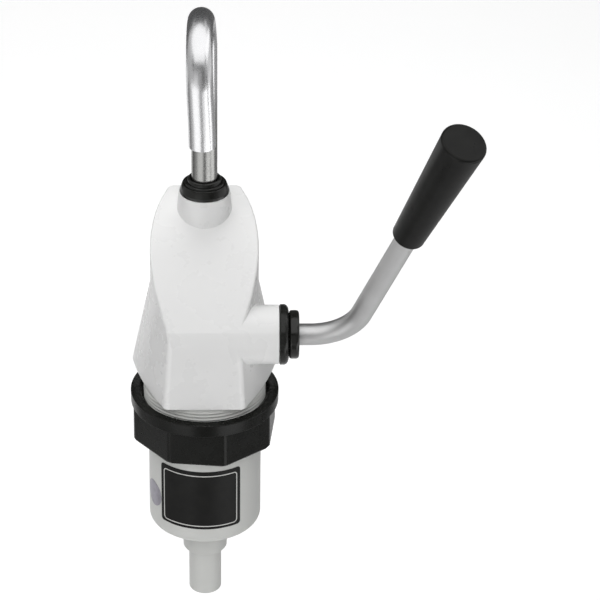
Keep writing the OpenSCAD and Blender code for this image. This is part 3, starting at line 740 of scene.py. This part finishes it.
tidy_shell(sleeve)
sleeve.matrix_world = (lever_place @ Matrix.Translation((ELBOW_X * MM, 0, 0))
                       @ Matrix.Rotation(math.radians(90 - ARM_ANGLE), 4, "Y"))
settle(sleeve, 40)
mount(sleeve, "lever", "grip_rubber", "lever_grip")

# %% [markdown]
# ## The label and the film disc
# A black film label is stuck on the casing, with a thin pale line inside its edge, and a small
# round disc of film beside it. Both are left bare. Each starts as a flat plane or disc, gets its
# corners and its rings in edit mode, is subdivided, and is then wrapped on the casing.

# %% Wrapping a flat piece on the casing
label_low, label_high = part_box("label_plate")
LABEL_START, LABEL_SWEEP = -140, 88.7
LABEL_TURN = LABEL_START + LABEL_SWEEP / 2
LABEL_W = CASING_R * math.radians(LABEL_SWEEP)
LABEL_H = (label_high.z - label_low.z) / MM
LABEL_Z = (label_high.z + label_low.z) / 2 / MM
LABEL_STRIPS = 24
FILM_T, INK_T = 0.2, 0.03


def wrap(piece, turn_by, height, radius):
    """Bend a flat piece that lies in X and Z round the casing; its Y is the height above it."""
    for vertex in piece.data.vertices:
        angle = math.radians(turn_by) + vertex.co.x / (radius * MM)
        out = radius * MM - vertex.co.y
        vertex.co = (out * math.cos(angle), out * math.sin(angle), vertex.co.z + height * MM)


def flat_plate(name, width, high, corner):
    """A flat rectangle in X and Z with rounded corners, as one face."""
    deselect_objects()
    bpy.ops.mesh.primitive_plane_add(size=1, rotation=(math.pi / 2, 0, 0))
    piece = bpy.context.object
    piece.name = name
    piece.scale = (width * MM, high * MM, 1)
    bpy.ops.object.transform_apply(location=True, rotation=True, scale=True)
    open_edit(piece, "VERT", "SELECT")
    bpy.ops.mesh.bevel(offset=corner * MM, segments=6, affect="VERTICES")
    bpy.ops.object.mode_set(mode="OBJECT")
    return piece


def slice_upright(piece, width, count):
    """Cut a flat piece into upright strips, so that it can follow the casing."""
    for i in range(1, count):
        open_edit(piece, "VERT", "SELECT")
        bpy.ops.mesh.bisect(plane_co=((i / count - 0.5) * width * MM, 0, 0), plane_no=(1, 0, 0))
        bpy.ops.object.mode_set(mode="OBJECT")


def thicken(piece, thickness):
    """Give a flat piece its thickness outward from the casing."""
    open_edit(piece, "FACE", "SELECT")
    bpy.ops.mesh.extrude_region_move(TRANSFORM_OT_translate={"value": (0, -thickness * MM, 0)})
    bpy.ops.object.mode_set(mode="OBJECT")
    tidy_shell(piece)


label = flat_plate("label_film", LABEL_W - 0.1, LABEL_H - 0.1, 1.3)
slice_upright(label, LABEL_W, LABEL_STRIPS)
thicken(label, FILM_T)
wrap(label, LABEL_TURN, LABEL_Z, CASING_R)
settle(label, 45)
mount(label, "base", "label_black", "label_plate")

# %% [markdown]
# The pale line is a frame: a smaller rectangle that is inset, and whose middle is deleted. It
# takes the slot of the pale film, so that a repaint by slots keeps it lighter than the label.

# %% Pale line on the label
line = flat_plate("label_line", LABEL_W - 2.9, LABEL_H - 3.2, 1.6)
open_edit(line, "FACE", "SELECT")
bpy.ops.mesh.inset(thickness=0.42 * MM)
bpy.ops.mesh.delete(type="FACE")
bpy.ops.object.mode_set(mode="OBJECT")
slice_upright(line, LABEL_W, LABEL_STRIPS)
thicken(line, INK_T)
wrap(line, LABEL_TURN, LABEL_Z - 0.3, CASING_R + FILM_T + 0.005)
settle(line, 45)
mount(line, "base", "disc_film")

# %% Film disc
disc_low, disc_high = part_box("round_disc")
DISC_R = 5.75
DISC_TURN = -155
deselect_objects()
bpy.ops.mesh.primitive_circle_add(vertices=64, radius=DISC_R * MM, fill_type="NGON",
                                  rotation=(math.pi / 2, 0, 0))
disc = bpy.context.object
disc.name = "film_disc"
bpy.ops.object.transform_apply(location=True, rotation=True, scale=True)
slice_upright(disc, 2 * DISC_R, 10)
thicken(disc, 0.15)
wrap(disc, DISC_TURN, (disc_low.z + disc_high.z) / 2 / MM, CASING_R)
settle(disc, 45)
mount(disc, "base", "disc_film", "round_disc")

# %% [markdown]
# ## Finishes
# Each finish is built from noise on Object coordinates, so that it stays fixed to the piece and
# has its real scale: a noise scale of 1000 is one cell a millimetre. Colour varies a little, the
# roughness varies more, and a faint bump breaks the reflections as a mould or a blasted surface
# does. Numbers that are the same all over are set on the shader itself.

# %% A helper for all finishes
finishes = {}


def finish_of(name, dark, light, rough, grain, bump=(1500, 0.1, 0.01), **shader_values):
    """A finish whose colour and roughness each run between two values.

    The grain holds the noise scales of colour and roughness, and the bump its scale, strength and
    depth in millimetres.
    """
    material = bpy.data.materials.new(name)
    material.use_nodes = True
    nodes, links = material.node_tree.nodes, material.node_tree.links
    shader = nodes["Principled BSDF"]
    for socket, value in shader_values.items():
        shader.inputs[socket.replace("_", " ")].default_value = value
    place = nodes.new("ShaderNodeTexCoord")

    def noise(scale, detail, roughness=0.5):
        node = nodes.new("ShaderNodeTexNoise")
        node.inputs["Scale"].default_value = scale
        node.inputs["Detail"].default_value = detail
        node.inputs["Roughness"].default_value = roughness
        links.new(place.outputs["Object"], node.inputs["Vector"])
        return node

    clouds = noise(grain[0], 3)
    ramp = nodes.new("ShaderNodeValToRGB")
    ramp.color_ramp.elements[0].position = 0.3
    ramp.color_ramp.elements[1].position = 0.7
    ramp.color_ramp.elements[0].color = (*dark, 1)
    ramp.color_ramp.elements[1].color = (*light, 1)
    links.new(clouds.outputs["Fac"], ramp.inputs["Fac"])
    links.new(ramp.outputs["Color"], shader.inputs["Base Color"])
    wear = noise(grain[1], 4, 0.6)
    spread = nodes.new("ShaderNodeMapRange")
    spread.inputs["From Min"].default_value = 0.3
    spread.inputs["From Max"].default_value = 0.7
    spread.inputs["To Min"].default_value = rough[0]
    spread.inputs["To Max"].default_value = rough[1]
    links.new(wear.outputs["Fac"], spread.inputs["Value"])
    links.new(spread.outputs["Result"], shader.inputs["Roughness"])
    scale, strength, distance = bump
    skin = noise(scale, 2)
    relief = nodes.new("ShaderNodeBump")
    relief.inputs["Strength"].default_value = strength
    relief.inputs["Distance"].default_value = distance * MM
    links.new(skin.outputs["Fac"], relief.inputs["Height"])
    links.new(relief.outputs["Normal"], shader.inputs["Normal"])
    finishes[name] = material


# %% Plastics and rubbers
finish_of("white_plastic", (0.805, 0.805, 0.80), (0.82, 0.82, 0.815), (0.26, 0.29), (14, 60),
          bump=(300, 0.01, 0.02))
finish_of("grey_plastic", (0.615, 0.62, 0.60), (0.635, 0.64, 0.62), (0.36, 0.40), (20, 90),
          bump=(500, 0.02, 0.02))
finish_of("inner_plastic", (0.72, 0.72, 0.68), (0.78, 0.78, 0.74), (0.4, 0.5), (60, 300))
finish_of("black_rubber", (0.006, 0.0062, 0.005), (0.010, 0.0103, 0.0088), (0.16, 0.26), (150, 700),
          bump=(1500, 0.08, 0.02), Specular_IOR_Level=0.42)
finish_of("bearing_plastic", (0.15, 0.15, 0.15), (0.2, 0.2, 0.2), (0.45, 0.55), (120, 400))
finish_of("black_plastic", (0.007, 0.0075, 0.0065), (0.011, 0.0115, 0.010), (0.2, 0.32), (120, 500),
          bump=(1300, 0.1, 0.02), Specular_IOR_Level=0.3)
finish_of("nut_plastic", (0.005, 0.0053, 0.0043), (0.0075, 0.0078, 0.0066), (0.25, 0.30), (60, 250),
          bump=(900, 0.03, 0.02), Specular_IOR_Level=0.2)
finish_of("grip_rubber", (0.006, 0.006, 0.0056), (0.010, 0.010, 0.0092), (0.27, 0.36), (140, 700),
          bump=(1500, 0.12, 0.03), Specular_IOR_Level=0.17)
finish_of("label_black", (0.005, 0.005, 0.0047), (0.008, 0.008, 0.0073), (0.4, 0.5), (200, 900),
          Specular_IOR_Level=0.2)
finish_of("label_ink", (0.62, 0.62, 0.60), (0.70, 0.70, 0.68), (0.45, 0.55), (200, 900))
finish_of("disc_film", (0.30, 0.29, 0.33), (0.40, 0.38, 0.44), (0.3, 0.4), (400, 900), Metallic=0.4)
print("plastics and rubbers:", sorted(finishes))

# %% [markdown]
# The alloy was blasted and then anodised, so its highlights are broad and their edges are grainy.
# That grain is a fine bump, about half a millimetre across, under a fairly rough metal. The rear
# limb of the spout gets painted shade: from where the bend begins downward, a darker colour is
# mixed in by the height on the piece. It stands for the darker reflection on that limb.

# %% Metals
finish_of("spout_alloy", (0.72, 0.72, 0.73), (0.77, 0.77, 0.78), (0.25, 0.31), (80, 900),
          bump=(1300, 0.2, 0.02), Metallic=1.0)
finish_of("lever_alloy", (0.61, 0.61, 0.61), (0.67, 0.67, 0.67), (0.44, 0.50), (80, 900),
          bump=(1400, 0.15, 0.02), Metallic=1.0)
finish_of("steel", (0.55, 0.55, 0.56), (0.62, 0.62, 0.63), (0.25, 0.35), (100, 900), Metallic=1.0)
finish_of("bronze", (0.42, 0.33, 0.19), (0.50, 0.40, 0.24), (0.4, 0.55), (300, 900), Metallic=1.0)

# %% Painted shade on the stem of the spout
def paint_stem_shade(material, stem_shade_colour, z_full_shade, z_no_shade, y_split):
    """Mix painted shade, a darker colour, into the limb behind y_split, fading out between two
    heights.
    """
    nodes, links = material.node_tree.nodes, material.node_tree.links
    base = nodes["Principled BSDF"].inputs["Base Color"]
    bright = base.links[0].from_socket
    split = nodes.new("ShaderNodeSeparateXYZ")
    links.new(nodes["Texture Coordinate"].outputs["Object"], split.inputs["Vector"])
    height = nodes.new("ShaderNodeMapRange")
    height.interpolation_type = "SMOOTHSTEP"
    height.inputs["From Min"].default_value = z_no_shade * MM
    height.inputs["From Max"].default_value = z_full_shade * MM
    links.new(split.outputs["Z"], height.inputs["Value"])
    behind = nodes.new("ShaderNodeMath")
    behind.operation = "GREATER_THAN"
    behind.inputs[1].default_value = y_split * MM
    links.new(split.outputs["Y"], behind.inputs[0])
    share = nodes.new("ShaderNodeMath")
    share.operation = "MULTIPLY"
    links.new(height.outputs["Result"], share.inputs[0])
    links.new(behind.outputs["Value"], share.inputs[1])
    blend = nodes.new("ShaderNodeMix")
    blend.data_type = "RGBA"
    links.new(share.outputs["Value"], blend.inputs["Factor"])
    links.new(bright, blend.inputs[6])
    blend.inputs[7].default_value = (*stem_shade_colour, 1)
    links.new(blend.outputs[2], base)


# Painted shade: the rear limb is darkened below the bend to stand for its darker reflection.
paint_stem_shade(finishes["spout_alloy"], (0.36, 0.36, 0.35), z_full_shade=100, z_no_shade=125, y_split=7)

# %% Putting the finishes on
def dress(piece, finish):
    """Give the piece one finish all over."""
    piece.data.materials.clear()
    piece.data.materials.append(finish)


for name, node in frame["nodes"].items():
    slot_name = node.data.materials[0].name.split(".")[0]
    for slot in node.material_slots:
        slot.material = finishes[slot_name]
for piece, slot_name in made:
    dress(piece, finishes[slot_name])
dress(line, finishes["label_ink"])
print(len(frame["nodes"]), "solids and", len(made), "pieces dressed")

# %% [markdown]
# ## Floor, light and camera
# A plain pale floor lies well below the pump, which hangs as it would through a deck. Broad soft
# lights overhead, in front and at the left light the mouldings, and the floor fills the shaded
# side. Polished metal shows what surrounds it and not the lamps, so a studio builds a room of pale
# and dark cards round it. Here the cards form a box: bright overhead and low at both sides, grey
# at the left, dark behind, and a narrow dark strip in front, which becomes the dark core of each
# tube. Only reflections see them.

# %% Floor
FLOOR_Z = -0.42
deselect_objects()
bpy.ops.mesh.primitive_plane_add(size=14, location=(0, 0, FLOOR_Z))
floor = bpy.context.object
floor.name = "studio_floor"
finish_of("floor_paint", (0.90, 0.90, 0.90), (0.92, 0.92, 0.92), (0.8, 0.9), (2, 5),
          Emission_Color=(1, 1, 1, 1), Emission_Strength=0.28)
dress(floor, finishes["floor_paint"])


# %% Cards that only reflections see
def mirror_card(name, low, high, glow):
    """A glowing card between two corners, flat on one axis, for metal and gloss to mirror."""
    low, high = Vector(low), Vector(high)
    deselect_objects()
    flat = min(range(3), key=lambda axis: high[axis] - low[axis])
    turned = {0: (0, math.pi / 2, 0), 1: (math.pi / 2, 0, 0), 2: (0, 0, 0)}[flat]
    bpy.ops.mesh.primitive_plane_add(size=1, location=(low + high) / 2, rotation=turned)
    card = bpy.context.object
    card.name = name
    bpy.ops.object.transform_apply(location=False, rotation=True, scale=False)
    card.scale = [size or 1 for size in high - low]
    finish_of(name, (0.01, 0.01, 0.01), (0.012, 0.012, 0.012), (0.9, 1), (2, 5),
              Specular_IOR_Level=0, Emission_Color=(1, 1, 1, 1), Emission_Strength=glow)
    dress(card, finishes[name])
    card.visible_camera = card.visible_diffuse = card.visible_shadow = False


CARD_Z = -0.28
CARDS = (
    ("front_left_low", (-1.3, -1.3, CARD_Z), (-0.25, -1.3, 0.25), 0.75),
    ("front_left_high", (-1.3, -1.3, 0.25), (-0.25, -1.3, 0.6), 0.52),
    ("front_middle", (-0.25, -1.3, CARD_Z), (0.45, -1.3, 0.6), 0.38),
    ("front_right", (0.45, -1.3, CARD_Z), (1.3, -1.3, 0.6), 0.14),
    ("left_low", (-1.3, -1.3, CARD_Z), (-1.3, 0.95, 0.5), 0.48),
    ("left_high", (-1.3, -0.5, 0.5), (-1.3, 0.95, 1.0), 0.66),
    ("right_front", (1.3, -1.3, CARD_Z), (1.3, -0.5, 1.0), 0.35),
    ("right_low", (1.3, -0.5, CARD_Z), (1.3, 0.95, 0.1), 0.8),
    ("right_middle", (1.3, -0.5, 0.1), (1.3, 0.95, 0.5), 0.6),
    ("right_high", (1.3, -0.5, 0.5), (1.3, 0.95, 1.0), 1.45),
    ("ceiling", (-1.3, -1.3, 1.0), (1.3, 0.43, 1.0), 1.28),
    ("ceiling_back_left", (-1.3, 0.43, 1.0), (-0.55, 0.95, 1.0), 0.5),
    ("ceiling_back_right", (0.55, 0.43, 1.0), (1.3, 0.95, 1.0), 0.65),
    ("dark_back", (-1.3, 0.95, CARD_Z), (1.3, 0.95, 0.1), 0.09),
    ("low_left_far", (-1.3, -1.3, CARD_Z), (-0.12, -0.28, CARD_Z), 1.4),
    ("low_front_far", (-0.12, -1.3, CARD_Z), (0.12, -0.75, CARD_Z), 0.75),
    ("core_near", (-0.12, -0.75, CARD_Z), (0.15, -0.35, CARD_Z), 0.08),
    ("core_far", (0.12, -1.3, CARD_Z), (0.6, -0.75, CARD_Z), 0.08),
    ("low_right_near", (0.15, -0.75, CARD_Z), (1.3, -0.22, CARD_Z), 1.9),
    ("low_right_far", (0.6, -1.3, CARD_Z), (1.3, -0.75, CARD_Z), 0.3),
    ("low_right_side", (0.52, -0.22, CARD_Z), (1.3, 0.1, CARD_Z), 1.8),
    ("low_left_side", (-1.3, -0.28, CARD_Z), (-0.35, 0.1, CARD_Z), 0.5),
    ("low_left_dark", (-1.3, 0.1, CARD_Z), (-0.35, 0.45, CARD_Z), 0.18),
    ("low_left_back", (-1.3, 0.45, CARD_Z), (-0.35, 0.95, CARD_Z), 0.9),
    ("under_left", (-0.35, -0.28, CARD_Z), (-0.12, 0.1, CARD_Z), 0.3),
    ("under_right", (-0.12, -0.35, CARD_Z), (0.15, 0.1, CARD_Z), 0.6),
    ("under_far_right", (0.15, -0.22, CARD_Z), (0.35, 0.1, CARD_Z), 0.6),
    ("low_right_dark", (0.35, -0.22, CARD_Z), (0.52, 0.45, CARD_Z), 0.07),
    ("behind_left", (-0.35, 0.1, CARD_Z), (0.12, 0.95, CARD_Z), 0.85),
    ("behind_right", (0.12, 0.1, CARD_Z), (0.35, 0.95, CARD_Z), 0.5),
    ("low_right_mid", (0.52, 0.1, CARD_Z), (1.3, 0.45, CARD_Z), 0.32),
    ("low_right_back", (0.35, 0.45, CARD_Z), (1.3, 0.95, CARD_Z), 0.3))
for card_name, low_corner, high_corner, glow in CARDS:
    mirror_card(card_name, low_corner, high_corner, glow)
print(len(CARDS), "cards stand round the pump")


# %% Lights
def soft_light(name, place, aim, width, depth, power):
    """A rectangular soft light that looks at a point; the cards stand in for its reflection."""
    lamp = bpy.data.lights.new(name, "AREA")
    lamp.shape = "RECTANGLE"
    lamp.size, lamp.size_y, lamp.energy = width, depth, power
    light = bpy.data.objects.new(name, lamp)
    bpy.context.scene.collection.objects.link(light)
    light.location = place
    light.rotation_euler = (Vector(aim) - Vector(place)).to_track_quat("-Z", "Y").to_euler()
    light.visible_glossy = False


soft_light("overhead", (-0.3, -0.2, 1.15), (-0.1, -0.2, 0), 1.5, 1.5, 8.1)
soft_light("front_high", (0, -1.3, 1.2), (0, 0, 0.05), 1.0, 0.6, 9.4)
soft_light("front_level", (0, -1.4, 0.35), (0, 0, 0), 1.0, 0.4, 2.1)
soft_light("left_high", (-1.2, 0, 1.0), (0, 0, 0), 0.9, 0.9, 1.1)
soft_light("backdrop", (0, 1.1, 1.3), (0, 0.9, FLOOR_Z), 1.6, 0.8, 19)
world = bpy.data.worlds.new("studio_air")
bpy.context.scene.world = world
world.use_nodes = True
world.node_tree.nodes["Background"].inputs["Color"].default_value = (0.95, 0.96, 0.97, 1)
world.node_tree.nodes["Background"].inputs["Strength"].default_value = 0.08

# %% Camera
camera = bpy.data.objects.new("camera", bpy.data.cameras.new("camera"))
bpy.context.scene.collection.objects.link(camera)
camera.location = (0.00615, -1.14895, 0.71049)
camera.rotation_euler = [math.radians(angle) for angle in (59.6075, -0.690, -1.2113)]
camera.data.lens = 198
camera.data.sensor_width = 36
camera.data.clip_start, camera.data.clip_end = 0.05, 50
bpy.context.scene.camera = camera
bpy.context.scene.view_settings.view_transform = "Standard"
